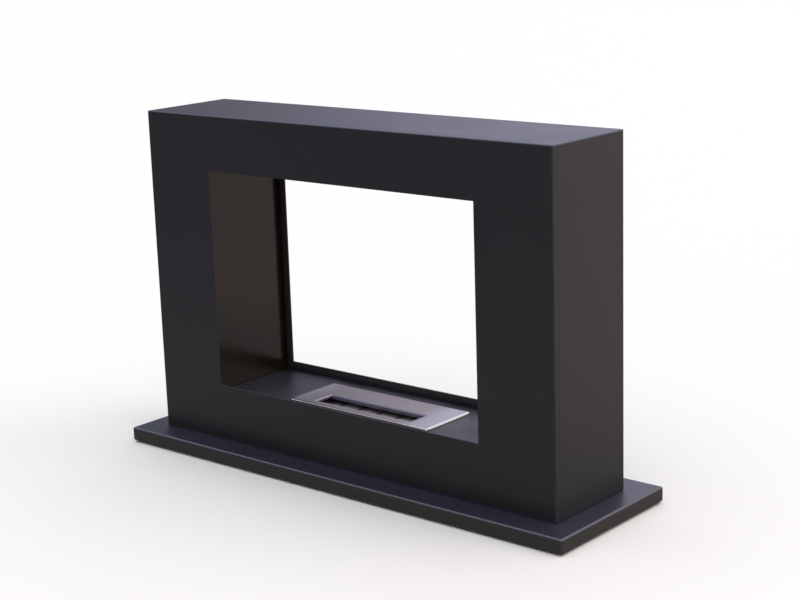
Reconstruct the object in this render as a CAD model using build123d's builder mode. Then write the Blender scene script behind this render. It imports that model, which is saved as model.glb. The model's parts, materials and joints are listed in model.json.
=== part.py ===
"""Free-standing bioethanol fireplace: a see-through portal of folded black sheet steel on a
wider plinth, with a stainless burner let into the hearth.

Frame: millimetres, +X to the right, +Y to the rear, +Z up. The origin is on the floor under the
middle of the plinth. The front and the rear are mirror images apart from the burner's slot.
"""

from build123d import *

import os

# ---------------------------------------------------------------- driving sizes, in mm
# Portal: a frame of jambs, sill and header round the fire opening
opening_width = 595.0
opening_height = 397.0
jamb_width = 152.5  # face beside the opening, each side
sill_height = 104.0  # face below the opening, above the plinth
header_height = 99.0  # face above the opening
body_depth = 195.0

# Plinth
plinth_overhang_side = 45.0
plinth_overhang_front = 50.0
plinth_edge = 26.0  # height of the plinth's visible edge
floor_gap = 3.0  # the feet lift the plinth's edge off the floor
plinth_sheet = 2.0
plinth_bend = 4.0  # outer radius of its folds
plinth_return = 12.0  # inward fold under the edge

# Body sheet and the joints between its panels
body_sheet = 1.5
body_bend = 2.5  # outer radius of its folds
fascia_flange = 12.0  # how far the fascias fold back round the body
seam_gap = 0.3  # hairline between two flush panels
layer_gap = 0.1  # between two sheets that lie on each other
joggle_length = 3.0  # stretch over which a panel steps inwards
lip_length = 9.0  # tucked-in edge behind the joggle
hem_width = 10.0  # flat hem round the opening in each fascia
edge_rounding = 0.9  # radius of a rolled edge, as a share of its sheet
tight_bend = 0.3  # inner radius of a fold that is pressed nearly flat
same_place = 0.01  # closer than this, two edges lie on one line

# Tunnel between the fascias
liner_setback = 16.0  # the liner stands back from the opening's edge
liner_sheet = 1.5
liner_flange = 14.0
liner_bend = 2.5

# Heat shield over the lintel
shield_rise = 28.0
shield_inset = 45.0  # from the tunnel's side walls
shield_depth = 130.0
shield_foot = 15.0

# Corner posts
post_leg = 20.0
post_sheet = 2.0

# Burner: a slotted cover over a tank that hangs in a spill tray
steel_sheet = 1.2  # stainless
slot_length = 218.0
slot_width = 42.0
slot_lip = 5.0  # turned-down lip, from the cover's top
slot_end_gap = 36.3  # from the slot's end to the tank's end wall
slot_front_gap = 2.3  # from the slot's front edge to the tank's front wall
cover_rise = 5.0  # the cover stands this far above the hearth
cover_bend = 4.0  # outer radius of its rolled edge
slot_bend = 2.4  # outer radius of the fold into the slot
cover_margin = 10.5  # how far the cover reaches past the spill tray's walls
tray_sheet = 1.0
tray_flange = 5.0
tray_clearance = 1.0  # round the tray, in the hearth's cut-out
tray_floor_gap = 5.0  # under the tank
tank_clearance = 2.0  # between tank and tray
tank_depth = 50.0  # below the hearth
tank_flange = 5.0
wool_side_gap = 0.4
grid_sheet = 1.0
grid_side_gap = 0.5
grid_rail_gap = 1.3  # under the shutter's rails
grid_hole_length = 40.0  # punched holes
grid_hole_width = 18.0
grid_bar = 4.0  # between two holes
grid_edge = 6.0  # unpunched border, at least

# Shutter: slides under the cover to close the slot
shutter_clearance = 0.4  # under the slot's lips
shutter_end_gap = 1.5  # from the tank's end walls
shutter_lip_inset = 3.0  # open, its upturned lip stands this far inside the slot
shutter_lip_gap = 0.4  # closed, its lip stands this far from the slot's front edge
shutter_lip_end_gap = 2.0
shutter_lip_drop = 0.8  # its lip stays below the cover's top
shutter_overlap = 3.0  # closed, it reaches this far past the slot's rear edge
shutter_park_gap = 4.7  # open, it stands this far from the tank's rear wall
rail_ledge = 16.0
rail_wall = 8.0
rail_gap = 0.1
rail_end_gap = 2.4  # from the tank's long walls

# Feet, channels and bolts under the plinth
channel_web = 44.0
channel_height = 12.0
channel_lip = 12.0
channel_inset = 50.0  # of its middle, from the body's side
channel_end_gap = 1.0
foot_top_radius = 15.0
foot_bottom_radius = 13.0
foot_inset = 40.0  # from the plinth's front and rear edges
screw_radius = 3.0
screw_hole_radius = 3.3
screw_reach = 1.5  # past its nut
hex_across_flats = 10.0
hex_height = 5.0
bolt_head_height = 4.0
bolt_spacing = 110.0  # front to rear

# ---------------------------------------------------------------- worked-out sizes
body_width = opening_width + 2 * jamb_width
body_height = sill_height + opening_height + header_height
plinth_width = body_width + 2 * plinth_overhang_side
plinth_depth = body_depth + 2 * plinth_overhang_front

plinth_top = floor_gap + plinth_edge
body_top = plinth_top + body_height
body_middle = plinth_top + body_height / 2
opening_bottom = plinth_top + sill_height
opening_top = opening_bottom + opening_height
opening_middle = opening_bottom + opening_height / 2

lip_outer = body_sheet + layer_gap  # depth of a tucked-in lip's outer face
lip_inner = lip_outer + body_sheet
panel_half_width = body_width / 2 - fascia_flange - seam_gap
panel_half_depth = body_depth / 2 - fascia_flange - seam_gap

hearth_top = opening_bottom - liner_setback
lintel_underside = opening_top + liner_setback
tunnel_half = opening_width / 2 + liner_setback
liner_half_depth = body_depth / 2 - body_sheet - layer_gap

# The burner, from the slot and its shutter outwards
shutter_travel = slot_width - shutter_lip_inset - shutter_lip_gap
shutter_depth = shutter_travel + shutter_lip_inset + shutter_overlap
tank_inner_length = slot_length + 2 * slot_end_gap
tank_inner_width = (
    slot_front_gap + slot_width - shutter_lip_inset + shutter_depth + shutter_park_gap
)
tank_length = tank_inner_length + 2 * steel_sheet
tank_width = tank_inner_width + 2 * steel_sheet
tray_length = tank_length + 2 * (tank_clearance + tray_sheet)
tray_width = tank_width + 2 * (tank_clearance + tray_sheet)
cover_length = tray_length + 2 * cover_margin
cover_width = tray_width + 2 * cover_margin

slot_front = -tank_inner_width / 2 + slot_front_gap
slot_rear = slot_front + slot_width
slot_middle = (slot_front + slot_rear) / 2
cover_top = hearth_top + cover_rise
cover_underside = cover_top - steel_sheet
shutter_top = cover_top - slot_lip - shutter_clearance
shutter_front = slot_rear - shutter_lip_inset
rail_top = shutter_top - steel_sheet - rail_gap
tank_bottom = hearth_top - tank_depth
tray_depth = tank_depth + tray_floor_gap
wool_floor = tank_bottom + steel_sheet
wool_top = rail_top - rail_wall - grid_rail_gap - grid_sheet

channel_x = body_width / 2 - channel_inset
channel_top = plinth_top - plinth_sheet
channel_bottom = channel_top - channel_height
foot_y = plinth_depth / 2 - foot_inset
foot_places = [(x, y) for x in (-channel_x, channel_x) for y in (-foot_y, foot_y)]
bolt_places = [
    (x, y) for x in (-channel_x, channel_x) for y in (-bolt_spacing / 2, bolt_spacing / 2)
]

# Corner posts, inside the tucked-in lips
post_face = body_width / 2 - lip_inner - layer_gap
post_bottom = plinth_top + lip_inner + layer_gap
post_top = body_top - lip_inner - layer_gap

front_face = Plane.XZ.offset(body_depth / 2)  # its normal points to the front
os.makedirs("parts", exist_ok=True)


def save(piece, name):
    """Writes one piece to parts/name.step."""
    piece.label = name
    export_step(piece, f"parts/{name}.step")


# ---------------------------------------------------------------- body skin
def body_block(inset):
    """The body's solid outline with rounded folds, drawn in by inset on every side."""
    with BuildPart() as block:
        with Locations((0, 0, body_middle)):
            Box(body_width - 2 * inset, body_depth - 2 * inset, body_height - 2 * inset)
        folds = block.edges()
        if inset > 0:
            folds = folds.filter_by(Axis.X) + folds.filter_by(Axis.Z)
        fillet(folds, max(body_bend - inset, tight_bend))
    return block.part


def body_layer(outer, inner):
    """The closed skin between two depths below the body's surface."""
    with BuildPart() as layer:
        add(body_block(outer))
        add(body_block(inner), mode=Mode.SUBTRACT)
    return layer.part


skin = body_layer(0, body_sheet)
lip_layer = body_layer(lip_outer, lip_inner)
joggle_layer = body_layer(0, lip_inner)


def make_fascia():
    """Front fascia: a tray of sheet whose opening has a hemmed, rounded edge."""
    with BuildPart() as fascia:
        add(skin)
        with Locations((0, -body_depth / 2, body_middle)):
            Box(body_width, 2 * fascia_flange, body_height, mode=Mode.INTERSECT)
        with BuildSketch(front_face.offset(-body_sheet)):
            with Locations((0, opening_middle)):
                Rectangle(opening_width + 2 * hem_width, opening_height + 2 * hem_width)
        extrude(amount=-body_sheet)
        with BuildSketch(front_face):
            with Locations((0, opening_middle)):
                Rectangle(opening_width, opening_height)
        extrude(amount=-2 * body_sheet, mode=Mode.SUBTRACT)
        rim = fascia.edges().filter_by(
            lambda e: abs(e.center().X) <= opening_width / 2 + same_place
            and abs(e.center().Z - opening_middle) <= opening_height / 2 + same_place
            and not e.is_interior
            and e.length > 2 * fascia_flange
        )
        fillet(rim, edge_rounding * body_sheet)
    return fascia.part


front_fascia = make_fascia()
save(front_fascia, "front_fascia")
save(mirror(front_fascia, Plane.XZ), "rear_fascia")


def side_strip(layer, half_depth):
    """The part of a layer that lies beside the right jamb, within half_depth of the middle."""
    with BuildPart() as strip:
        add(layer)
        with Locations((body_width / 2, 0, body_middle)):
            Box(2 * fascia_flange, 2 * half_depth, body_height, mode=Mode.INTERSECT)
    return strip.part


def make_side_panel():
    """Right side panel: folded over at top and bottom, stepped in to tuck behind the fascias."""
    with BuildPart() as panel:
        add(side_strip(lip_layer, panel_half_depth + lip_length))
        add(side_strip(joggle_layer, panel_half_depth))
        with Locations((body_width / 2, 0, body_middle)):
            Box(
                2 * fascia_flange,
                2 * (panel_half_depth - joggle_length),
                body_height,
                mode=Mode.SUBTRACT,
            )
        add(side_strip(skin, panel_half_depth))
    return panel.part


right_side_panel = make_side_panel()
save(right_side_panel, "right_side_panel")
save(mirror(right_side_panel, Plane.YZ), "left_side_panel")


def make_flush_panel(outside):
    """Flat panel with a stepped-in lip along each edge. outside is the plane of its outer face."""
    inner_half_width = panel_half_width - joggle_length
    inner_half_depth = panel_half_depth - joggle_length
    with BuildPart() as panel:
        with BuildSketch(outside):
            Rectangle(2 * panel_half_width, 2 * panel_half_depth)
        extrude(amount=-body_sheet)
        with BuildSketch(outside):
            Rectangle(2 * panel_half_width, 2 * panel_half_depth)
            Rectangle(2 * inner_half_width, 2 * inner_half_depth, mode=Mode.SUBTRACT)
        extrude(amount=-lip_inner)
        with BuildSketch(outside.offset(-lip_outer)):
            Rectangle(2 * panel_half_width, 2 * (panel_half_depth + lip_length))
            Rectangle(2 * (panel_half_width + lip_length), 2 * (inner_half_depth - seam_gap))
            Rectangle(2 * inner_half_width, 2 * inner_half_depth, mode=Mode.SUBTRACT)
        extrude(amount=-body_sheet)
    return panel.part


top_panel = make_flush_panel(Plane.XY.offset(body_top))
save(top_panel, "top_panel")

with BuildPart() as base_pan:
    add(make_flush_panel(Plane.XY.offset(plinth_top).rotated((180, 0, 0))))
    with BuildSketch(Plane.XY.offset(plinth_top)):
        with Locations(*bolt_places):
            Circle(screw_hole_radius)
    extrude(amount=body_sheet, mode=Mode.SUBTRACT)
save(base_pan.part, "base_pan")


# ---------------------------------------------------------------- corner posts
def make_post():
    """Front right corner post: a steel angle behind the fascia and the side panel."""
    with BuildPart() as post:
        with BuildSketch(Plane.XY.offset(post_bottom)):
            with Locations((post_face, -liner_half_depth)):
                Rectangle(post_leg, post_leg, align=(Align.MAX, Align.MIN))
                inner = post_leg - post_sheet
            with Locations((post_face - post_sheet, -liner_half_depth + post_sheet)):
                Rectangle(inner, inner, align=(Align.MAX, Align.MIN), mode=Mode.SUBTRACT)
        extrude(amount=post_top - post_bottom)
        fillet(post.edges().filter_by(Axis.Z).group_by(Axis.Y)[0].sort_by(Axis.X)[-1], post_sheet)
    return post.part


front_right_post = make_post()
front_left_post = mirror(front_right_post, Plane.YZ)
save(front_right_post, "corner_post_front_right")
save(front_left_post, "corner_post_front_left")
save(mirror(front_right_post, Plane.XZ), "corner_post_rear_right")
save(mirror(front_left_post, Plane.XZ), "corner_post_rear_left")

# ---------------------------------------------------------------- tunnel liner
def make_side_wall():
    """Right wall of the tunnel: a channel whose flanges turn away from the fire."""
    bottom = hearth_top - liner_flange
    top = lintel_underside + liner_flange
    with BuildPart() as wall:
        with BuildSketch(Plane.XY.offset(bottom)):
            with Locations((tunnel_half, 0)):
                Rectangle(liner_flange, 2 * liner_half_depth, align=(Align.MIN, Align.CENTER))
            with Locations((tunnel_half + liner_sheet, 0)):
                Rectangle(
                    liner_flange,
                    2 * (liner_half_depth - liner_sheet),
                    align=(Align.MIN, Align.CENTER),
                    mode=Mode.SUBTRACT,
                )
        extrude(amount=top - bottom)
        fillet(wall.edges().filter_by(Axis.Z).group_by(Axis.X)[0], liner_bend)
    return wall.part


def make_tray_wall():
    """Floor or ceiling of the tunnel, as an upside-down tray with its outer face at z = 0."""
    half_width = tunnel_half - layer_gap
    with BuildPart() as plate:
        with BuildSketch():
            Rectangle(2 * half_width, 2 * liner_half_depth)
        extrude(amount=-liner_flange)
        fillet(plate.faces().sort_by(Axis.Z)[-1].edges(), liner_bend)
        with BuildSketch(Plane.XY.offset(-liner_sheet)):
            Rectangle(2 * (half_width - liner_sheet), 2 * (liner_half_depth - liner_sheet))
        extrude(amount=-liner_flange, mode=Mode.SUBTRACT)
    return plate.part


right_wall = make_side_wall()
save(right_wall, "tunnel_wall_right")
save(mirror(right_wall, Plane.YZ), "tunnel_wall_left")

flat_wall = make_tray_wall()
with BuildPart() as hearth:
    with Locations((0, 0, hearth_top)):
        add(flat_wall)
    with BuildSketch(Plane.XY.offset(hearth_top)):
        Rectangle(tray_length + 2 * tray_clearance, tray_width + 2 * tray_clearance)
    extrude(amount=-liner_sheet, mode=Mode.SUBTRACT)
save(hearth.part, "hearth_plate")

with BuildPart() as lintel:
    with Locations(Location((0, 0, lintel_underside), (180, 0, 0))):
        add(flat_wall)
save(lintel.part, "lintel_plate")

# ---------------------------------------------------------------- heat shield
lintel_top = lintel_underside + liner_sheet
shield_half = tunnel_half - shield_inset
with BuildPart() as heat_shield:
    with BuildSketch(Plane.XZ.offset(shield_depth / 2)):
        with Locations((0, lintel_top)):
            Rectangle(2 * (shield_half + shield_foot), liner_sheet, align=(Align.CENTER, Align.MIN))
            Rectangle(2 * shield_half, shield_rise, align=(Align.CENTER, Align.MIN))
            Rectangle(
                2 * (shield_half - liner_sheet),
                shield_rise - liner_sheet,
                align=(Align.CENTER, Align.MIN),
                mode=Mode.SUBTRACT,
            )
    extrude(amount=-shield_depth)
    fillet(heat_shield.edges().filter_by(Axis.Y).group_by(Axis.Z)[-1], liner_bend)
save(heat_shield.part, "heat_shield")


# ---------------------------------------------------------------- burner
def open_box(length, width, top, depth, sheet, flange):
    """Open-topped box of sheet with rounded corners and a flat flange round its mouth."""
    with BuildPart() as box:
        with BuildSketch(Plane.XY.offset(top)):
            RectangleRounded(length, width, 2 * sheet)
        extrude(amount=-depth)
        with BuildSketch(Plane.XY.offset(top)):
            Rectangle(length + 2 * flange, width + 2 * flange)
        extrude(amount=-sheet)
        with BuildSketch(Plane.XY.offset(top)):
            RectangleRounded(length - 2 * sheet, width - 2 * sheet, sheet)
        extrude(amount=sheet - depth, mode=Mode.SUBTRACT)
    return box.part


with BuildPart() as spill_tray:
    tray_top = hearth_top + tray_sheet
    add(open_box(tray_length, tray_width, tray_top, tray_depth, tray_sheet, tray_flange))
save(spill_tray.part, "spill_tray")

with BuildPart() as fuel_tank:
    tank_height = cover_underside - tank_bottom
    add(open_box(tank_length, tank_width, cover_underside, tank_height, steel_sheet, tank_flange))
save(fuel_tank.part, "fuel_tank")


def cover_block(inset):
    """The cover's solid outline with rolled edges, drawn in by inset at its sides and its top."""
    radius = cover_bend - inset
    with BuildPart() as block:
        with BuildSketch(Plane.XY.offset(hearth_top)):
            RectangleRounded(cover_length - 2 * inset, cover_width - 2 * inset, radius)
        extrude(amount=cover_rise - inset)
        fillet(block.faces().sort_by(Axis.Z)[-1].edges(), radius)
    return block.part


with BuildPart() as burner_cover:
    add(cover_block(0))
    add(cover_block(steel_sheet), mode=Mode.SUBTRACT)
    with BuildSketch(Plane.XY.offset(cover_top)):
        with Locations((0, slot_middle)):
            Rectangle(slot_length + 2 * steel_sheet, slot_width + 2 * steel_sheet)
    extrude(amount=-slot_lip)
    with BuildSketch(Plane.XY.offset(cover_top)):
        with Locations((0, slot_middle)):
            Rectangle(slot_length, slot_width)
    extrude(amount=-slot_lip, mode=Mode.SUBTRACT)
    slot_rim = burner_cover.faces().sort_by(Axis.Z)[-1].inner_wires()[0].edges()
    fillet(slot_rim, slot_bend)
save(burner_cover.part, "burner_cover")

with BuildPart() as wool:
    with BuildSketch(Plane.XY.offset(wool_floor)):
        RectangleRounded(
            tank_inner_length - 2 * wool_side_gap,
            tank_inner_width - 2 * wool_side_gap,
            2 * steel_sheet,
        )
    extrude(amount=wool_top - wool_floor)
save(wool.part, "ceramic_wool")

grid_length = tank_inner_length - 2 * grid_side_gap
grid_width = tank_inner_width - 2 * grid_side_gap
grid_pitch_x = grid_hole_length + grid_bar
grid_pitch_y = grid_hole_width + grid_bar
grid_columns = int((grid_length - 2 * grid_edge) // grid_pitch_x)
grid_rows = int((grid_width - 2 * grid_edge) // grid_pitch_y)
with BuildPart() as wool_grid:
    with BuildSketch(Plane.XY.offset(wool_top)):
        RectangleRounded(grid_length, grid_width, 2 * steel_sheet)
        with GridLocations(grid_pitch_x, grid_pitch_y, grid_columns, grid_rows):
            Rectangle(grid_hole_length, grid_hole_width, mode=Mode.SUBTRACT)
    extrude(amount=grid_sheet)
save(wool_grid.part, "wool_grid")

rail_half_length = tank_inner_width / 2 - rail_end_gap
with BuildPart() as rail:
    with BuildSketch(Plane.XZ.offset(rail_half_length)):
        with Locations((tank_inner_length / 2, rail_top)):
            Rectangle(rail_ledge, steel_sheet, align=(Align.MAX, Align.MAX))
            Rectangle(steel_sheet, rail_wall, align=(Align.MAX, Align.MAX))
    extrude(amount=-2 * rail_half_length)
save(rail.part, "shutter_rail_right")
save(mirror(rail.part, Plane.YZ), "shutter_rail_left")

shutter_length = tank_inner_length - 2 * shutter_end_gap
with BuildPart() as shutter:
    with BuildSketch(Plane.XY.offset(shutter_top)):
        with Locations((0, shutter_front)):
            Rectangle(shutter_length, shutter_depth, align=(Align.CENTER, Align.MIN))
    extrude(amount=-steel_sheet)
    with BuildSketch(Plane.XY.offset(shutter_top - steel_sheet)):
        with Locations((0, shutter_front)):
            Rectangle(
                slot_length - 2 * shutter_lip_end_gap,
                steel_sheet,
                align=(Align.CENTER, Align.MIN),
            )
    extrude(amount=cover_top - shutter_lip_drop - shutter_top + steel_sheet)
save(shutter.part, "shutter")

# ---------------------------------------------------------------- plinth
with BuildPart() as plinth:
    with BuildSketch(Plane.XY.offset(floor_gap)):
        Rectangle(plinth_width, plinth_depth)
    extrude(amount=plinth_edge)
    fillet(plinth.edges(), plinth_bend)
    with BuildSketch(Plane.XY.offset(floor_gap + plinth_sheet)):
        RectangleRounded(
            plinth_width - 2 * plinth_sheet,
            plinth_depth - 2 * plinth_sheet,
            max(plinth_bend - plinth_sheet, tight_bend),
        )
    extrude(amount=plinth_edge - 2 * plinth_sheet, mode=Mode.SUBTRACT)
    with BuildSketch(Plane.XY.offset(floor_gap)):
        Rectangle(plinth_width - 2 * plinth_return, plinth_depth - 2 * plinth_return)
    extrude(amount=plinth_sheet, mode=Mode.SUBTRACT)
    with BuildSketch(Plane.XY.offset(plinth_top)):
        with Locations(*bolt_places):
            Circle(screw_hole_radius)
    extrude(amount=-plinth_sheet, mode=Mode.SUBTRACT)
save(plinth.part, "plinth_tray")

channel_length = plinth_depth - 2 * (plinth_return + channel_end_gap)
with BuildPart() as channel:
    with BuildSketch(Plane.XZ.offset(channel_length / 2)):
        with Locations((channel_x, channel_top)):
            Rectangle(
                channel_web + 2 * channel_lip, plinth_sheet, align=(Align.CENTER, Align.MAX)
            )
            Rectangle(channel_web, channel_height, align=(Align.CENTER, Align.MAX))
            Rectangle(
                channel_web - 2 * plinth_sheet,
                channel_height - plinth_sheet,
                align=(Align.CENTER, Align.MAX),
                mode=Mode.SUBTRACT,
            )
    extrude(amount=-channel_length)
    fillet(channel.edges().filter_by(Axis.Y).group_by(Axis.Z)[0], plinth_sheet)
    with BuildSketch(Plane.XY.offset(channel_bottom)):
        with Locations(*[p for p in foot_places + bolt_places if p[0] > 0]):
            Circle(screw_hole_radius)
    extrude(amount=plinth_sheet, mode=Mode.SUBTRACT)
save(channel.part, "plinth_channel_right")
save(mirror(channel.part, Plane.YZ), "plinth_channel_left")

with BuildPart() as feet:
    with Locations(*[(x, y, channel_bottom / 2) for x, y in foot_places]):
        Cone(foot_bottom_radius, foot_top_radius, channel_bottom)
save(feet.part, "rubber_feet")


def studs(places, bottom, top):
    """Plain round shanks, one at each place."""
    with BuildPart() as shanks:
        with BuildSketch(Plane.XY.offset(bottom)):
            with Locations(*places):
                Circle(screw_radius)
        extrude(amount=top - bottom)
    return shanks.part


def hex_nuts(places, seat):
    """Hexagon nuts that stand on the height seat, one at each place."""
    with BuildPart() as nuts:
        with BuildSketch(Plane.XY.offset(seat)):
            with Locations(*places):
                RegularPolygon(hex_across_flats / 2, 6, major_radius=False)
                Circle(screw_radius, mode=Mode.SUBTRACT)
        extrude(amount=hex_height)
    return nuts.part


foot_nut_seat = channel_bottom + plinth_sheet
save(studs(foot_places, channel_bottom, foot_nut_seat + hex_height + screw_reach), "foot_studs")
save(hex_nuts(foot_places, foot_nut_seat), "foot_nuts")

bolt_nut_seat = plinth_top + body_sheet
with BuildPart() as bolts:
    with BuildSketch(Plane.XY.offset(channel_bottom)):
        with Locations(*bolt_places):
            RegularPolygon(hex_across_flats / 2, 6, major_radius=False)
    extrude(amount=-bolt_head_height)
    add(studs(bolt_places, channel_bottom, bolt_nut_seat + hex_height + screw_reach))
save(bolts.part, "body_bolts")
save(hex_nuts(bolt_places, bolt_nut_seat), "body_nuts")
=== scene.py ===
# %% [markdown]
# # A see-through bioethanol fireplace of black sheet steel
# A portal of folded sheet stands on a wider plinth. A flat stainless burner lies in its hearth.
# The folded panels, the burner and the fixings come ready-made, as solids in one shared frame in
# metres: +X to the right, +Y to the rear and +Z up. This lesson dresses them. It gives each sheet
# its finish, models what solids can't show, such as fibre, thread and moulded rubber, and lights
# the whole as in a plain studio.

# %% Load the solids
import json
from math import cos, pi, radians, sin, sqrt, tau
from random import Random

import bpy
from mathutils import Matrix, Vector, noise


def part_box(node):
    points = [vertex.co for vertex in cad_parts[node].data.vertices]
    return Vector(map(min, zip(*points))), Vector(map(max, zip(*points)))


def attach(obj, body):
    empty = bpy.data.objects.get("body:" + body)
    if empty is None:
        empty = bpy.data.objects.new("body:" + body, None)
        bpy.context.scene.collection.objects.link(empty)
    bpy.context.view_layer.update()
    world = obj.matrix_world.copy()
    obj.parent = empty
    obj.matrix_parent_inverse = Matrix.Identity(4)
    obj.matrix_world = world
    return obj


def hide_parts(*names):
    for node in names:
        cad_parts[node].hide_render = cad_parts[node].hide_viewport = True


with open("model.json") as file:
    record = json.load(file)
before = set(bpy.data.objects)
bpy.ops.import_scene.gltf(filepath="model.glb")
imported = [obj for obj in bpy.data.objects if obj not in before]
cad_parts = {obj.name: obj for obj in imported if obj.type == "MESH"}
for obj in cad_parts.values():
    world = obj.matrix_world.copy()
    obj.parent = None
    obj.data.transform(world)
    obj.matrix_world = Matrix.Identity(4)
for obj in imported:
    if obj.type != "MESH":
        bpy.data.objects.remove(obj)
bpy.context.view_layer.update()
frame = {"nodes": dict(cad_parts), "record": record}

MM = 0.001
nodes = frame["nodes"]

# %% [markdown]
# ## The camera
# A camera can be placed by eye, until the picture looks about right. Here the place was worked out
# instead: the photograph's vertical and horizontal edges meet at vanishing points, which give the
# lens and the tilt, and the body's width, taken as 900 mm, gives the distance. The camera turns
# first about the vertical, then tips down, and last rolls a little, as a hand-held camera does.

# %% Camera
CAMERA_PLACE = (1.9074, -2.1597, 1.0070)
CAMERA_LENS = 76.54
CAMERA_YAW = 40.57
CAMERA_PITCH = 76.42
CAMERA_ROLL = -1.856
CAMERA_SIGHT = 200  # metres, past the far corners of the floor

camera = bpy.data.objects.new("camera", bpy.data.cameras.new("camera"))
bpy.context.scene.collection.objects.link(camera)
bpy.context.scene.camera = camera
camera.data.lens = CAMERA_LENS
camera.data.clip_end = CAMERA_SIGHT
turn = Matrix.Rotation(radians(CAMERA_YAW), 4, "Z")
tip = Matrix.Rotation(radians(CAMERA_PITCH), 4, "X")
roll = Matrix.Rotation(radians(CAMERA_ROLL), 4, "Z")
camera.matrix_world = Matrix.Translation(CAMERA_PLACE) @ turn @ tip @ roll

# %% [markdown]
# ## Helpers for materials
# A material is a small graph of nodes. Wiring each one by hand takes many lines, so a few helpers
# do it. One adds a node and fills or connects its inputs, and the others name the steps that come
# back in every finish: arithmetic, a soft ramp, a mix of two colours and a noise.

# %% Node helpers
def add_node(tree, kind, options=None, **inputs):
    """Adds a shader node. An input is a number, a colour or an output socket; i0, i1 name it by place."""
    made = tree.nodes.new("ShaderNode" + kind)
    for option, value in (options or {}).items():
        setattr(made, option, value)
    for name, value in inputs.items():
        by_place = name[0] == "i" and name[1:].isdigit()
        socket = made.inputs[int(name[1:]) if by_place else name.replace("_", " ")]
        if isinstance(value, bpy.types.NodeSocket):
            tree.links.new(value, socket)
        else:
            socket.default_value = value
    return made


def calculate(tree, operation, first, second=0.0, third=0.0):
    """One step of arithmetic on values that vary over the surface."""
    return add_node(tree, "Math", {"operation": operation}, i0=first, i1=second, i2=third).outputs[0]


def calculate_vector(tree, operation, first, second=(0, 0, 0)):
    """One step of arithmetic on places or directions."""
    made = add_node(tree, "VectorMath", {"operation": operation}, i0=first, i1=second)
    return made.outputs["Value" if operation == "DOT_PRODUCT" else "Vector"]


def parts_of(tree, vector):
    """The X, Y and Z parts of a place or direction."""
    return add_node(tree, "SeparateXYZ", None, Vector=vector).outputs


# %% Ramp, colour and noise helpers
MIX_FIRST = 6  # places of the colour sockets on a Mix node
MIX_SECOND = 7
MIX_RESULT = 2


def blend_between(tree, share, low, high):
    """A value that runs from low to high as share goes from 0 to 1."""
    return add_node(tree, "MapRange", None, Value=share, To_Min=low, To_Max=high).outputs[0]


def smooth_step(tree, value, low, high):
    """0 below low, 1 above high, and a soft ramp between them."""
    options = {"interpolation_type": "SMOOTHSTEP"}
    return add_node(tree, "MapRange", options, Value=value, From_Min=low, From_Max=high).outputs[0]


def colour_mix(tree, share, first, second, operation="MIX"):
    """Mixes two colours, each a fixed one or another node's output."""
    made = add_node(tree, "Mix", {"data_type": "RGBA", "blend_type": operation}, i0=share)
    for place, colour in ((MIX_FIRST, first), (MIX_SECOND, second)):
        if isinstance(colour, bpy.types.NodeSocket):
            tree.links.new(colour, made.inputs[place])
        else:
            made.inputs[place].default_value = (*colour, 1)
    return made.outputs[MIX_RESULT]


def noise_value(tree, place, scale, detail=2.0, roughness=0.5, distortion=0.0):
    """Cloudy noise about 0.5. Its scale is the number of clouds in a metre."""
    made = add_node(tree, "TexNoise", None, Vector=place, Scale=scale, Detail=detail)
    made.inputs["Roughness"].default_value = roughness
    made.inputs["Distortion"].default_value = distortion
    return made.outputs[0]


# %% [markdown]
# ## Helpers for groups and finishes
# An effect that several finishes share could be wired again in each of them. A node group is
# better: it is made once, with named sockets, and each material gives it values of its own. The
# next helpers start a group, put one into a material, and start a material on the object's own
# coordinates. All pieces share one origin, so a pattern on those coordinates runs through all
# panels alike and needs no unwrapping.

# %% Group and material helpers
def start_group(name, inputs, outputs):
    """An empty node group. inputs and outputs map each socket's name to its type."""
    group = bpy.data.node_groups.new(name, "ShaderNodeTree")
    for direction, sockets in (("INPUT", inputs), ("OUTPUT", outputs)):
        for socket, kind in sockets.items():
            group.interface.new_socket(socket, in_out=direction, socket_type="NodeSocket" + kind)
    start = group.nodes.new("NodeGroupInput")
    end = group.nodes.new("NodeGroupOutput")
    return group, start.outputs, end.inputs


def use_group(tree, group, **inputs):
    """Puts a node group into a material and returns its outputs."""
    return add_node(tree, "Group", {"node_tree": group}, **inputs).outputs


def start_material(name, **constants):
    """A material with one Principled BSDF. constants set sockets that are the same all over."""
    material = bpy.data.materials.new(name)
    material.use_nodes = True
    tree = material.node_tree
    surface = tree.nodes["Principled BSDF"]
    for socket, value in constants.items():
        surface.inputs[socket.replace("_", " ")].default_value = value
    place = add_node(tree, "TexCoord").outputs["Object"]
    return material, tree, surface.inputs, place


def bump(tree, height, distance, surface):
    """Turns a height that varies over the surface into its shading normal."""
    made = add_node(tree, "Bump", None, Height=height, Distance=distance, Strength=1.0)
    tree.links.new(made.outputs["Normal"], surface["Normal"])


# %% [markdown]
# ## Powder coat
# The portal, the plinth and the tunnel are sprayed with dry paint powder and baked. Up close such
# a coat has a fine orange peel, about a millimetre across and some hundredths of a millimetre
# deep. Over a whole panel its gloss and tone drift a little, because the coat is never equally
# thick, and hands leave faint satin marks. One flat black would look like plastic film. The group
# below gives all three: a height for the peel, a tone for the drift and a mask for the marks.

# %% Orange peel, drift and marks
GRAIN_FINENESS = 4.3  # the grain on the peel is this many times finer
GRAIN_SHARE = 0.25  # and this much as high
MARK_FINENESS = 2.7  # marks are this many times smaller than the patches of the drift
MARKS_START = 0.52  # where their noise is above this, marks begin to show
MARKS_FULL = 0.72


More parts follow.
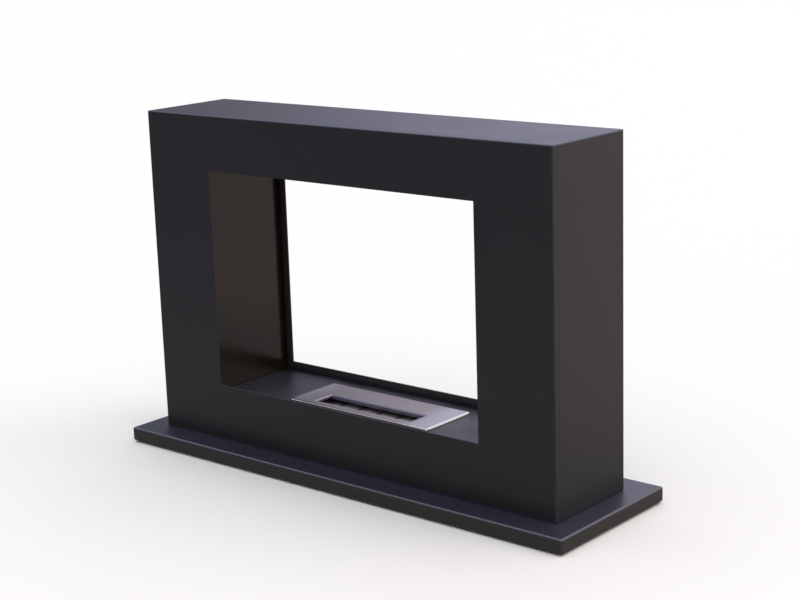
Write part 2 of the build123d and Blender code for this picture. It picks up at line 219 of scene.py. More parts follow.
def make_powder_group():
    """The height of the peel, the drift of the tone and a mask of the marks."""
    group, given, result = start_group(
        "powder_coat",
        {"Place": "Vector", "Peel Size": "Float", "Patch Size": "Float"},
        {"Height": "Float", "Tone": "Float", "Marks": "Float"},
    )
    place = given["Place"]
    peel_scale = calculate(group, "DIVIDE", 1.0, given["Peel Size"])
    patch_scale = calculate(group, "DIVIDE", 1.0, given["Patch Size"])
    peel = noise_value(group, place, peel_scale, roughness=0.45)
    grain_scale = calculate(group, "MULTIPLY", peel_scale, GRAIN_FINENESS)
    grain = noise_value(group, place, grain_scale, detail=1.0)
    height = calculate(group, "ADD", peel, calculate(group, "MULTIPLY", grain, GRAIN_SHARE))
    tone = noise_value(group, place, patch_scale, detail=5.0, roughness=0.6)
    mark_scale = calculate(group, "MULTIPLY", patch_scale, MARK_FINENESS)
    marks = noise_value(group, place, mark_scale, detail=6.0, distortion=1.6)
    group.links.new(height, result["Height"])
    group.links.new(tone, result["Tone"])
    group.links.new(smooth_step(group, marks, MARKS_START, MARKS_FULL), result["Marks"])
    return group


powder_group = make_powder_group()
print("group:", powder_group.name)

# %% [markdown]
# ## Settled dust and painted sky light
# A film of household dust lies on every face that looks up. It is too thin to see as dust, but it
# lifts the black to a cold grey, and that tells a ledge from a wall. The cold grey is partly that
# dust and partly painted light: the cool sky light that falls on every upward face. Dust could be
# scattered as grains, but at this distance only its tone shows. The surface's own normal says where
# it lies.

# %% Dust and painted sky light group
DUST_AND_SKY_PATCHES = 14.0
DUST_AND_SKY_STRENGTH = 2.0
DUST_AND_SKY_SLOPE = 0.45  # upward part of the normal at which dust and painted sky light start


def make_dust_and_sky_group():
    """Dust and painted sky light as a grey film: 0 on a wall, 1 and more on a level face."""
    group, given, result = start_group("dust_and_painted_sky", {"Place": "Vector"}, {"Film": "Float"})
    # The film is settled dust and painted cool sky light alike, on every face that looks up.
    normal = add_node(group, "NewGeometry").outputs["Normal"]
    upward = smooth_step(group, parts_of(group, normal)["Z"], DUST_AND_SKY_SLOPE, 1.0)
    drift = noise_value(group, given["Place"], DUST_AND_SKY_PATCHES, detail=6.0, roughness=0.62)
    film = calculate(group, "MULTIPLY", upward, drift)
    group.links.new(calculate(group, "MULTIPLY", film, DUST_AND_SKY_STRENGTH), result["Film"])
    return group


dust_and_sky_group = make_dust_and_sky_group()
print("group:", dust_and_sky_group.name)

# %% [markdown]
# ## Painted light inside the tunnel and on the folds
# Two more effects depend on where a point lies. Inside the tunnel the inner sheets of the fascias'
# hems get a lighter tone, which is painted light on faces that stand in shade. Round the slot the
# steel is partly stained by the fire and partly painted with shade. Along each fold a fine grey
# line is painted as a highlight, stronger along the level folds than the upright ones. Painted maps
# could show them, but each panel would then have to be unwrapped and painted. A group works it out
# instead: one asks whether a point is inside a box, the other how near it is to a box's edges.

# %% Box group
def distance_from(tree, place, middle):
    """How far a place is from a middle, along each axis."""
    return calculate_vector(tree, "ABSOLUTE", calculate_vector(tree, "SUBTRACT", place, middle))


def make_box_group():
    """1 inside a box, 0 outside it, with a ramp as wide as Softness round it."""
    sockets = {"Place": "Vector", "Middle": "Vector", "Reach": "Vector", "Softness": "Float"}
    group, given, result = start_group("inside_box", sockets, {"Inside": "Float"})
    distance = distance_from(group, given["Place"], given["Middle"])
    past = parts_of(group, calculate_vector(group, "SUBTRACT", distance, given["Reach"]))
    furthest = calculate(group, "MAXIMUM", calculate(group, "MAXIMUM", past["X"], past["Y"]), past["Z"])
    outside = smooth_step(group, calculate(group, "DIVIDE", furthest, given["Softness"]), 0.0, 1.0)
    group.links.new(calculate(group, "SUBTRACT", 1.0, outside), result["Inside"])
    return group


box_group = make_box_group()
print("group:", box_group.name)

# %% Fold highlight group
FOLD_CORE = 0.15  # share of the width over which the fold shows in full
FOLD_STRENGTH = 1.6
UPRIGHT_HIGHLIGHT = 0.2  # upright folds get a weaker painted highlight than level ones


def make_fold_highlight_group():
    """A painted highlight, 1 on a box's level folds and 0 a little way off. Upright folds get less."""
    sockets = {"Place": "Vector", "Middle": "Vector", "Reach": "Vector", "Width": "Float"}
    group, given, result = start_group("painted_fold_highlights", sockets, {"Fold": "Float"})
    distance = distance_from(group, given["Place"], given["Middle"])
    near = []
    for depth in parts_of(group, calculate_vector(group, "SUBTRACT", given["Reach"], distance)):
        share = calculate(group, "DIVIDE", depth, given["Width"])
        near.append(calculate(group, "SUBTRACT", 1.0, smooth_step(group, share, FOLD_CORE, 1.0)))
    side, front, top = near
    level = calculate(group, "MULTIPLY", calculate(group, "MAXIMUM", side, front), top)
    upright = calculate(group, "MULTIPLY", calculate(group, "MULTIPLY", side, front), UPRIGHT_HIGHLIGHT)
    strongest = calculate(group, "MULTIPLY", calculate(group, "MAXIMUM", level, upright), FOLD_STRENGTH)
    group.links.new(calculate(group, "MINIMUM", strongest, 1.0), result["Fold"])
    return group


fold_highlight_group = make_fold_highlight_group()
print("group:", fold_highlight_group.name)

# %% Where the coat gets painted light and painted highlights
HEM_MIDDLE = 0.5 * MM  # from the wall's end, so that only the inner sheet of each hem gets the painted light

wall_low, wall_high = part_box("tunnel_wall_right")
tunnel_middle = Vector((0, 0, (wall_low.z + wall_high.z) / 2))
tunnel_reach = Vector((wall_high.x, wall_high.y - HEM_MIDDLE, (wall_high.z - wall_low.z) / 2))
body_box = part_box("front_fascia")[0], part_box("rear_fascia")[1]
plinth_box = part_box("plinth_tray")
print("body in mm:", [round(s / MM) for s in body_box[1] - body_box[0]])

# %% Powder coat
PEEL_SIZE = 1.3 * MM
PATCH_SIZE = 160 * MM
MARK_ROUGHNESS = -0.035  # a mark is a little smoother than the coat round it
# ramp round the lighter tone that is painted light inside the tunnel
PAINTED_INNER_LIGHT_EDGE = 1 * MM
FOLD_WIDTH = 3.5 * MM


def make_powder_coat(
    name, dark, light, dust_and_sky_tone, roughness, peel_depth, matting=0.06, painted_inner_light=None, folded_box=None, fold_highlight_tone=None
):
    """Satin black coat. dark and light bound its tone, and roughness holds its two limits. Dust and
    painted cool sky light give upward faces a colder grey, and that film adds matting to the
    roughness. Inside the tunnel a lighter tone is painted light on the inner sheets of the hems,
    and a pale line along the folds of folded_box is a painted highlight."""
    material, tree, surface, place = start_material(name)
    coat = use_group(tree, powder_group, Place=place, Peel_Size=PEEL_SIZE, Patch_Size=PATCH_SIZE)
    dust_and_sky_film = use_group(tree, dust_and_sky_group, Place=place)["Film"]
    tone = colour_mix(tree, coat["Tone"], dark, light)
    # A lighter tone inside the tunnel: painted light on the inner sheets of the hems.
    if painted_inner_light:
        within = use_group(
            tree, box_group, Place=place, Middle=tunnel_middle, Reach=tunnel_reach, Softness=PAINTED_INNER_LIGHT_EDGE
        )["Inside"]
        tone = colour_mix(tree, within, tone, painted_inner_light)
    # A colder grey on upward faces: settled dust and painted cool sky light.
    tone = colour_mix(tree, dust_and_sky_film, tone, dust_and_sky_tone)
    # A pale line along the folds: a painted highlight.
    if folded_box:
        low, high = folded_box
        fold = use_group(
            tree, fold_highlight_group, Place=place, Middle=(low + high) / 2, Reach=(high - low) / 2, Width=FOLD_WIDTH
        )["Fold"]
        tone = colour_mix(tree, fold, tone, fold_highlight_tone)
    tree.links.new(tone, surface["Base Color"])
    drift = blend_between(tree, coat["Tone"], *roughness)
    marked = calculate(tree, "MULTIPLY_ADD", coat["Marks"], MARK_ROUGHNESS, drift)
    tree.links.new(calculate(tree, "MULTIPLY_ADD", dust_and_sky_film, matting, marked), surface["Roughness"])
    bump(tree, coat["Height"], peel_depth, surface)
    return material


# %% [markdown]
# ## Three coats
# One black for all would be simple, but the photograph shows three. The body's is neutral, and
# paler on the inner sheets of its fascias' hems inside the tunnel, a tone that is painted light. The
# plinth's is warmer and a little lighter, as from another batch. The tunnel's is a smooth,
# heat-resistant coat that mirrors more of the studio, except on the hearth, where dust dulls it. Its
# brown is painted warm light from the right.

# %% Body, plinth and tunnel coats
# Upward faces: dust and painted sky light. Inside the tunnel: a lighter tone, painted light. Folds: a
# painted highlight.
body_paint = make_powder_coat(
    "body_paint",
    dark=(0.0055, 0.0055, 0.0065),
    light=(0.0085, 0.0080, 0.0095),
    dust_and_sky_tone=(0.0170, 0.0150, 0.0215),
    roughness=(0.30, 0.40),
    peel_depth=0.080 * MM,
    painted_inner_light=(0.024, 0.020, 0.022),
    folded_box=body_box,
    fold_highlight_tone=(0.022, 0.024, 0.035),
)
# Upward faces: dust and painted sky light. Folds: a painted highlight.
plinth_paint = make_powder_coat(
    "plinth_paint",
    dark=(0.0160, 0.0128, 0.0118),
    light=(0.0225, 0.0182, 0.0165),
    dust_and_sky_tone=(0.0125, 0.0125, 0.0205),
    roughness=(0.28, 0.38),
    peel_depth=0.070 * MM,
    folded_box=plinth_box,
    fold_highlight_tone=(0.040, 0.042, 0.055),
)
# Its brown is painted warm light from the right. Upward faces, the hearth most: dust and painted sky light.
tunnel_paint = make_powder_coat(
    "tunnel_paint",
    dark=(0.0055, 0.0035, 0.0015),
    light=(0.0080, 0.0050, 0.0020),
    dust_and_sky_tone=(0.0055, 0.0045, 0.0100),
    roughness=(0.15, 0.25),
    peel_depth=0.010 * MM,
    matting=0.25,
)
print("coats:", body_paint.name, plinth_paint.name, tunnel_paint.name)

# %% [markdown]
# ## Bare metals
# Four metals show or could show: brushed stainless steel on the burner's cover and shutter, mill
# stainless on its tank, galvanised sheet on the stiffeners and bright zinc on the fixings. All
# are metallic, and differ in how their surface scatters light. Brushing leaves long fine lines
# along the sheet. The Anisotropic setting would only stretch the highlights, so the lines are
# made from noise that is stretched along X. Galvanised sheet shows frost flowers, the cells of a
# Voronoi pattern, each with its own brightness.

# %% Brushed lines
LINE_LAYERS = ((0.5, 1.0), (0.3, 2.9), (0.2, 7.1))  # share and fineness of each layer


def make_brushed_group():
    sockets = {"Place": "Vector", "Line Length": "Float", "Line Width": "Float"}
    group, given, result = start_group("brushed_lines", sockets, {"Lines": "Float"})
    along = calculate(group, "DIVIDE", 1.0, given["Line Length"])
    across = calculate(group, "DIVIDE", 1.0, given["Line Width"])
    total = 0.0
    for share, fineness in LINE_LAYERS:
        finer = calculate(group, "MULTIPLY", across, fineness)
        scale = add_node(group, "CombineXYZ", None, X=along, Y=finer, Z=across).outputs[0]
        stretched = calculate_vector(group, "MULTIPLY", given["Place"], scale)
        layer = noise_value(group, stretched, 1.0, detail=3.0, roughness=0.65)
        total = calculate(group, "ADD", calculate(group, "MULTIPLY", layer, share), total)
    group.links.new(total, result["Lines"])
    return group


brushed_group = make_brushed_group()
print("group:", brushed_group.name)

# %% Frost flowers
def make_spangle_group():
    sockets = {"Place": "Vector", "Flower Size": "Float"}
    group, given, result = start_group("zinc_spangle", sockets, {"Spangle": "Float"})
    density = calculate(group, "DIVIDE", 1.0, given["Flower Size"])
    cells = add_node(group, "TexVoronoi", None, Vector=given["Place"], Scale=density, Randomness=1.0)
    frost = add_node(group, "SeparateColor", None, Color=cells.outputs["Color"])
    group.links.new(frost.outputs[0], result["Spangle"])
    return group


spangle_group = make_spangle_group()
print("group:", spangle_group.name)

# %% [markdown]
# ## Heat and painted shade on the burner
# Steel that the flame licks turns a warm straw brown, and right at the slot a dull blue grey. Both
# are partly that heat stain and partly painted shade: the blue grey darkens the slot's lips, and the
# brown darkens the cover more on its left. A painted map could show it, but the inside_box group
# needs only two boxes. A small sharp one holds the slot's turned-down lips and the shutter's edge,
# and a wide soft one tints the cover round it, a little more to the left. The record says where the
# slot is.

# %% Where the flame and the painted shade reach
SCORCH_AND_SHADE_BESIDE = 8 * MM  # past the slot's ends
SCORCH_AND_SHADE_BEYOND = 10 * MM  # past its front and its rear
COVER_SKIN = 0.3 * MM  # the cover's upper face gets neither scorch nor painted shade
# The tint's box sits left of the slot, so it paints shade on the cover's left as well as heat tint.
TINT_MIDDLE_X = -15 * MM  # a little to the left, as in the photograph
TINT_REACH = Vector((95 * MM, 60 * MM, 60 * MM))

openings = {opening["name"]: opening["box_m"] for opening in frame["record"]["physics"]["openings"]}
slot_low, slot_high = openings["burner_slot"]
slot_middle = (Vector(slot_low) + Vector(slot_high)) / 2
cover_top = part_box("burner_cover")[1].z
scorch_and_shade_length = slot_high[0] + SCORCH_AND_SHADE_BESIDE
scorch_and_shade_width = (slot_high[1] - slot_low[1]) / 2 + SCORCH_AND_SHADE_BEYOND
scorch_and_shade_reach = Vector((scorch_and_shade_length, scorch_and_shade_width, cover_top - COVER_SKIN - slot_middle.z))
tint_middle = Vector((TINT_MIDDLE_X, 0, cover_top))
print("slot in mm:", [round((b - a) / MM) for a, b in zip(slot_low, slot_high)])

# %% Brushed steel
LINE_LENGTH = 60 * MM
LINE_WIDTH = 0.9 * MM
SCORCH_AND_SHADE_EDGE = 0.5 * MM
# A dull blue grey: scorch, and painted shade in the slot.
SCORCH_AND_SHADE_COLOUR = (0.22, 0.205, 0.27)
SCORCH_ROUGHNESS = 0.25
TINT_EDGE = 60 * MM
TINT_AND_SHADE_COLOUR = (0.67, 0.58, 0.525)
TINT_PATCHES = 34.0
TINT_LEAST = 0.72
TINT_MOST = 1.22


def make_brushed_steel(name, dark, light, roughness, line_depth):
    """Brushed stainless between two tones, heat-tinted and scorched, with painted shade round the slot."""
    material, tree, surface, place = start_material(name, Metallic=1.0)
    lines = use_group(
        tree, brushed_group, Place=place, Line_Length=LINE_LENGTH, Line_Width=LINE_WIDTH
    )["Lines"]
    clean = colour_mix(tree, lines, dark, light)
    # Heat tint round the slot, and painted shade stronger on the cover's left.
    tint_and_shade_box = use_group(
        tree, box_group, Place=place, Middle=tint_middle, Reach=TINT_REACH, Softness=TINT_EDGE
    )["Inside"]
    patches = noise_value(tree, place, TINT_PATCHES, detail=5.0, roughness=0.6, distortion=0.8)
    uneven = blend_between(tree, patches, TINT_LEAST, TINT_MOST)
    tint_and_shade = calculate(tree, "MULTIPLY", tint_and_shade_box, uneven)
    tinted_and_shaded = colour_mix(tree, tint_and_shade, clean, colour_mix(tree, 1.0, clean, TINT_AND_SHADE_COLOUR, "MULTIPLY"))
    # Scorch and painted shade on the slot's lips and the shutter's edge.
    scorch_and_shade = use_group(
        tree, box_group, Place=place, Middle=slot_middle, Reach=scorch_and_shade_reach, Softness=SCORCH_AND_SHADE_EDGE
    )["Inside"]
    tree.links.new(colour_mix(tree, scorch_and_shade, tinted_and_shaded, SCORCH_AND_SHADE_COLOUR), surface["Base Color"])
    gloss = blend_between(tree, lines, *roughness)
    dulled = calculate(tree, "MULTIPLY_ADD", scorch_and_shade, SCORCH_ROUGHNESS, gloss)
    tree.links.new(dulled, surface["Roughness"])
    bump(tree, lines, line_depth, surface)
    return material


# %% Burner steels
stainless = make_brushed_steel(
    "stainless",
    dark=(0.350, 0.335, 0.322),
    light=(0.59, 0.58, 0.565),
    roughness=(0.16, 0.30),
    line_depth=0.015 * MM,
)
tank_steel = make_brushed_steel(
    "tank_steel",
    dark=(0.34, 0.33, 0.33),
    light=(0.50, 0.49, 0.50),
    roughness=(0.30, 0.46),
    line_depth=0.004 * MM,
)
print("steels:", stainless.name, tank_steel.name)

# %% Galvanised sheet
FLOWER_SIZE = 7 * MM
FLOWER_DULL = (0.36, 0.38, 0.40)
FLOWER_BRIGHT = (0.56, 0.58, 0.60)
FLOWER_ROUGHNESS = (0.30, 0.52)
FLOWER_DEPTH = 0.006 * MM


def make_galvanised():
    material, tree, surface, place = start_material("galvanised", Metallic=1.0)
    spangle = use_group(tree, spangle_group, Place=place, Flower_Size=FLOWER_SIZE)["Spangle"]
    tree.links.new(colour_mix(tree, spangle, FLOWER_DULL, FLOWER_BRIGHT), surface["Base Color"])
    tree.links.new(blend_between(tree, spangle, *FLOWER_ROUGHNESS), surface["Roughness"])
    bump(tree, spangle, FLOWER_DEPTH, surface)
    return material


galvanised = make_galvanised()
print("sheet:", galvanised.name)

# %% Zinc plate
HAZE_PATCHES = 420.0
HAZE_BLUE = (0.42, 0.44, 0.48)
HAZE_PALE = (0.62, 0.63, 0.62)
HAZE_ROUGHNESS = (0.24, 0.42)
HAZE_DEPTH = 0.01 * MM


def make_zinc():
    """Bright plate on the fixings, a little hazy and blue."""
    material, tree, surface, place = start_material("zinc", Metallic=1.0)
    haze = noise_value(tree, place, HAZE_PATCHES, detail=4.0)
    tree.links.new(colour_mix(tree, haze, HAZE_BLUE, HAZE_PALE), surface["Base Color"])
    tree.links.new(blend_between(tree, haze, *HAZE_ROUGHNESS), surface["Roughness"])
    bump(tree, haze, HAZE_DEPTH, surface)
    return material


zinc = make_zinc()
print("plate:", zinc.name)

# %% [markdown]
# ## Rubber and ceramic fibre
# Moulded rubber is nearly black, with a grey bloom where it has been handled. Ceramic fibre is a
# chalky white that goes a little yellow in patches. Neither has a shine of its own, so what makes
# them real is a slow change of tone and a fine grain. Two noises of different sizes give both.

# %% Rubber
BLOOM_PATCHES = 90.0
BLOOM_NONE = (0.012, 0.012, 0.012)
BLOOM_FULL = (0.040, 0.040, 0.041)
BLOOM_ROUGHNESS = (0.55, 0.80)
RUBBER_GRAIN = 1500.0
RUBBER_DEPTH = 0.03 * MM


def make_rubber():
    material, tree, surface, place = start_material("rubber", Specular_IOR_Level=0.35)
    bloom = noise_value(tree, place, BLOOM_PATCHES, detail=5.0, roughness=0.6)
    tree.links.new(colour_mix(tree, bloom, BLOOM_NONE, BLOOM_FULL), surface["Base Color"])
    tree.links.new(blend_between(tree, bloom, *BLOOM_ROUGHNESS), surface["Roughness"])
    bump(tree, noise_value(tree, place, RUBBER_GRAIN), RUBBER_DEPTH, surface)
    return material


rubber = make_rubber()
print("feet:", rubber.name)

# %% Ceramic fibre
FIBRE_PATCHES = 40.0
FIBRE_YELLOW = (0.60, 0.58, 0.52)
FIBRE_WHITE = (0.84, 0.83, 0.80)
FIBRE_GRAIN = 2200.0
FIBRE_DEPTH = 0.12 * MM


def make_fibre():
    material, tree, surface, place = start_material("ceramic_fibre", Roughness=0.95, Specular_IOR_Level=0.1)
    patches = noise_value(tree, place, FIBRE_PATCHES, detail=5.0, roughness=0.6)
    tree.links.new(colour_mix(tree, patches, FIBRE_YELLOW, FIBRE_WHITE), surface["Base Color"])
    grain = noise_value(tree, place, FIBRE_GRAIN, detail=4.0, distortion=2.0)
    bump(tree, grain, FIBRE_DEPTH, surface)
    return material


ceramic_fibre = make_fibre()
print("wool:", ceramic_fibre.name)

# %% [markdown]
# ## A finish for each solid
# The record names the finish of each solid, in slots. Assigning them one by one would be long and
# easy to get wrong, so a table joins each slot's name to its material, and a loop does the rest.

# %% Give each solid its finish
FINISHES = {
    "body_paint": body_paint,
    "plinth_paint": plinth_paint,
    "tunnel_paint": tunnel_paint,
    "stainless": stainless,
    "tank_steel": tank_steel,
    "galvanised": galvanised,
    "zinc": zinc,
    "rubber": rubber,
    "ceramic_fibre": ceramic_fibre,
}
for part in frame["record"]["subparts"]:
    nodes[part["node"]].material_slots[0].material = FINISHES[part["material_slot"]]
print("finishes:", ", ".join(FINISHES))

# %% [markdown]
# ## Helpers for modelling
# Each piece below is made with the same operators that a person would click on: a shape is added,
# its mesh is edited, modifiers are applied and copies are joined. Operators act on everything
# that is selected, so each step first selects its own piece alone. The helpers keep those steps
# short.

# %% Editing helpers
MERGE_DISTANCE = 0.01 * MM


def select_only(*pieces):
    """Selects these pieces and nothing else, and makes the first one active."""
    for thing in bpy.context.selected_objects:
        thing.select_set(False)
    for piece in pieces:
        piece.select_set(True)
    bpy.context.view_layer.objects.active = pieces[0]


def edit(piece, *steps):
    """Runs mesh operators, each a function, on everything in one piece."""
    select_only(piece)
    bpy.ops.object.mode_set(mode="EDIT")
    for step in steps:
        bpy.ops.mesh.select_all(action="SELECT")  # an extrusion or a spin leaves only its end selected
        step()
    bpy.ops.object.mode_set(mode="OBJECT")
    return piece


def merge_and_turn_out():
    """Merges doubled corners and turns all faces outwards."""
    bpy.ops.mesh.remove_doubles(threshold=MERGE_DISTANCE)
    bpy.ops.mesh.normals_make_consistent(inside=False)


def apply_modifier(piece, kind, **settings):
    """Adds a modifier to a piece and makes its result the piece's mesh."""
    select_only(piece)
    modifier = piece.modifiers.new(kind, kind)
    for setting, value in settings.items():
        setattr(modifier, setting, value)
    bpy.ops.object.modifier_apply(modifier=modifier.name)


# %% Turning, joining and copying
def new_outline(name, corners, edges):
    """A mesh of edges only, with its corners in mm."""
    mesh = bpy.data.meshes.new(name)
    mesh.from_pydata([Vector(c) * MM for c in corners], edges, ())
    piece = bpy.data.objects.new(name, mesh)
    bpy.context.scene.collection.objects.link(piece)
    return piece


def turned(name, profile, steps=48):
    """Turns a profile of (radius, height) points, in mm, once about the Z axis, as on a lathe."""
    corners = [(radius, 0, height) for radius, height in profile]
    piece = new_outline(name, corners, [(i, i + 1) for i in range(len(corners) - 1)])

    def spin():
        bpy.ops.mesh.spin(steps=steps, angle=tau, center=(0, 0, 0), axis=(0, 0, 1))

    return edit(piece, spin, merge_and_turn_out)


def join(name, first, second):
    """Joins two pieces into one mesh."""
    select_only(first, second)
    bpy.ops.object.join()
    first.name = name
    return first


def copies_at(model, name, places):
    """One copy of the model at each place in metres, each with its own mesh. The model goes."""
    made = []
    for number, place in enumerate(places, 1):
        copy = model.copy()
        copy.data = model.data.copy()
        copy.data.transform(Matrix.Translation(place))
        copy.name = f"{name}_{number}"
        bpy.context.scene.collection.objects.link(copy)
        made.append(copy)
    bpy.data.objects.remove(model)
    return made


# %% [markdown]
# ## Handing a piece over
# A finished piece needs more than its mesh. It rides on one of the moving bodies, it has one of
# the record's finishes, and it may stand for a plain solid, which is then hidden. One helper says
# all of that, and smooths the shading of faces that meet at less than a given angle.

# %% Hand-over
def hand_over(piece, body, slot, *stands_for, smooth_below=35):
    """Gives a finished piece its body and its finish, and names the solids that it stands for."""
    select_only(piece)
    bpy.ops.object.shade_smooth_by_angle(angle=radians(smooth_below))
    piece.data.materials.clear()
    piece.data.materials.append(FINISHES[slot])
    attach(piece, body)
    if stands_for:
        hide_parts(*stands_for)
    print(piece.name, "triangles:", sum(len(face.vertices) - 2 for face in piece.data.polygons))


# %% [markdown]
# ## The ceramic wool
# The tank is filled with a pad of ceramic fibre that soaks up the fuel. A box with a bumpy finish
# would do from afar, but here the light rakes over it, so the pad is a real form. Its top has soft
# lumps from layered noise, and it falls away round the rim. A function says how high it is at any
# place, so that what lies on it later can follow it.

# %% Height of the pad
WOOL_RIM = 5.0 * MM
RIM_DROP = WOOL_RIM / 2
FIBRE_ROOM = 1.8 * MM  # above the pad, for loose fibres and the wire cloth
LUMP_RISE = 0.5 * MM
LUMP_DIP = 1.0 * MM
LUMP_SCALE = 90  # lumps in a metre
LUMP_FALL = 0.9  # how fast the finer layers of lumps get weaker
LUMP_STEP = 2.1  # how much finer each layer is
LUMP_LAYERS = 5

wool_low, wool_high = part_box("ceramic_wool")
wool_size = wool_high - wool_low
wool_middle = (wool_low + wool_high) / 2
wool_level = wool_high.z - FIBRE_ROOM - LUMP_RISE


def wool_surface(x, y):
    """Height of the pad's top at one place."""
    inside = min(x - wool_low.x, wool_high.x - x, y - wool_low.y, wool_high.y - y)
    share = min(inside / WOOL_RIM, 1)
    rounding = RIM_DROP * (1 - sqrt(1 - (1 - share) ** 2)) if share >= 0 else RIM_DROP
    layered = noise.fractal(Vector((x, y, 0)) * LUMP_SCALE, LUMP_FALL, LUMP_STEP, LUMP_LAYERS)
    lump = min(max(layered * LUMP_RISE, -LUMP_DIP), LUMP_RISE)
    return wool_level + lump - rounding


print("wool in mm:", [round(s / MM, 1) for s in wool_size])

# %% [markdown]
# ## The pad's form
# A cube has too few corners to shape. The pad starts as a fine flat grid instead, which is
# extruded down into a block. Then each corner of the mesh is moved: those on top to the height
# that the function gives, and all of them a little inwards, by an uneven amount, because a cut
# edge of wool is never straight.

# %% Wool pad
SIDE_INSET = 0.5 * MM
RIPPLE = 0.15 * MM
RIPPLE_SCALE = 60
RIPPLE_SLICE = 3  # reads the noise far from where the lumps do, so that the two don't match


def pull_down():
    bpy.ops.mesh.extrude_region_move(TRANSFORM_OT_translate={"value": (0, 0, -wool_size.z)})


bpy.ops.mesh.primitive_grid_add(x_subdivisions=150, y_subdivisions=48, size=1)
wool_pad = bpy.context.object
wool_pad.scale = (wool_size.x, wool_size.y, 1)
select_only(wool_pad)
bpy.ops.object.transform_apply(location=False, rotation=False, scale=True)
edit(wool_pad, pull_down, merge_and_turn_out)
for corner in wool_pad.data.vertices:
    on_top = corner.co.z > -wool_size.z / 2
    x, y = corner.co.x + wool_middle.x, corner.co.y + wool_middle.y
    ripple = noise.noise(Vector((x, y, RIPPLE_SLICE)) * RIPPLE_SCALE) * RIPPLE
    inward = Vector((-corner.co.x, -corner.co.y, 0)).normalized() * (SIDE_INSET + ripple)
    corner.co = Vector((x, y, wool_surface(x, y) if on_top else wool_low.z)) + inward
print("corners of the pad:", len(wool_pad.data.vertices))

# %% [markdown]
# ## Loose fibres
# Wool sheds short strands that lie on it every way. Hair particles could scatter them, but they
# pay no heed to the wire cloth above. So each strand is a short walk over the pad, from a random
# place: it bends steadily, arches a little and stays inside the rim and under the cloth. All
# strands are made as one curve with a round section, which is then turned into a mesh.

# %% Strands
def strands(name, paths, radius):
    """Thin round strands along paths, made as one bevelled curve and turned into a mesh."""
    curve = bpy.data.curves.new(name, "CURVE")
    curve.dimensions = "3D"
    curve.bevel_depth = radius
    curve.bevel_resolution = 0
    curve.use_fill_caps = True
    for path in paths:
        line = curve.splines.new("POLY")
        line.points.add(len(path) - 1)
        line.points.foreach_set("co", [value for point in path for value in (*point, 1)])
    piece = bpy.data.objects.new(name, curve)
    bpy.context.scene.collection.objects.link(piece)
    select_only(piece)
    bpy.ops.object.convert(target="MESH")
    return piece


# %% Loose fibres
FIBRES = 2600
FIBRE_RADIUS = 0.05 * MM
FIBRE_POINTS = 6
FIBRE_BEND = 0.35
FIBRE_STEPS = (1.2, 3.2)  # mm
FIBRE_LIFTS = (0.05, 0.5)  # mm
FIBRE_PILE = 0.7 * MM  # of the room above the pad, which leaves the rest to the wire cloth
FIBRE_SEED = 7

fibre_ceiling = wool_high.z - FIBRE_ROOM + FIBRE_PILE


def fibre_path(chance):
    """One bent strand that lies on the pad."""
    x = chance.uniform(wool_low.x + WOOL_RIM, wool_high.x - WOOL_RIM)
    y = chance.uniform(wool_low.y + WOOL_RIM, wool_high.y - WOOL_RIM)
    heading = chance.uniform(0, tau)
    bend = chance.gauss(0, FIBRE_BEND)
    step = chance.uniform(*FIBRE_STEPS) * MM
    lift = chance.uniform(*FIBRE_LIFTS) * MM
    path = []
    for index in range(FIBRE_POINTS):
        arch = sin(pi * index / (FIBRE_POINTS - 1)) * lift
        path.append((x, y, min(wool_surface(x, y) + arch, fibre_ceiling)))
        x = min(max(x + cos(heading) * step, wool_low.x + WOOL_RIM / 2), wool_high.x - WOOL_RIM / 2)
        y = min(max(y + sin(heading) * step, wool_low.y + WOOL_RIM / 2), wool_high.y - WOOL_RIM / 2)
        heading += bend
    return path


chance = Random(FIBRE_SEED)
fibres = strands("fibres", [fibre_path(chance) for _ in range(FIBRES)], FIBRE_RADIUS)
wool_pad = join("ceramic_wool_pad", wool_pad, fibres)
hand_over(wool_pad, "burner", "ceramic_fibre", "ceramic_wool", smooth_below=60)

# %% [markdown]
# ## The wire cloth
# Under the punched grid lies a cloth of fine steel wire that keeps the fibres down. A see-through
# pattern on a sheet could fake it, but woven wire catches the light on its bends. Each wire is a
# wave that passes over one crossing wire and under the next, and its neighbour does the opposite.

# %% Woven wire
CLOTH_PITCH = 4.0 * MM
WIRE_RADIUS = 0.22 * MM
CLOTH_DROP = 2.2 * WIRE_RADIUS  # a crest rises by two radii, so it just clears the grid

grid_low, grid_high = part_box("wool_grid")
cloth_level = grid_low.z - CLOTH_DROP
cloth_middle = (grid_low + grid_high) / 2
columns = int((grid_high.x - grid_low.x) / CLOTH_PITCH / 2) - 1
rows = int((grid_high.y - grid_low.y) / CLOTH_PITCH / 2) - 1


def wire(line, crossings, along_x):
    """One wire of the cloth, with a crest or a trough at each crossing."""
    path = []
    for half_step in range(-2 * crossings - 1, 2 * crossings + 2):
        run = half_step / 2 * CLOTH_PITCH
        wave = cos(pi * (half_step / 2 + line)) * WIRE_RADIUS * (1 if along_x else -1)
        across = line * CLOTH_PITCH
        x, y = (run, across) if along_x else (across, run)
        path.append((cloth_middle.x + x, cloth_middle.y + y, cloth_level + wave))
    return path


wires = [wire(line, columns, True) for line in range(-rows, rows + 1)]
wires += [wire(line, rows, False) for line in range(-columns, columns + 1)]
cloth = strands("wool_wire_cloth", wires, WIRE_RADIUS)
hand_over(cloth, "burner", "tank_steel", smooth_below=80)

# %% [markdown]
# ## Rubber feet
# A moulded foot is round, so it is turned from a profile: a tread ring to stand on, with a hollow
# inside it, then two grip grooves and a collar under the steel. A bevelled cylinder would be
# quicker, but the grooves are what makes it look moulded. One foot is modelled and copied to the
# four places.

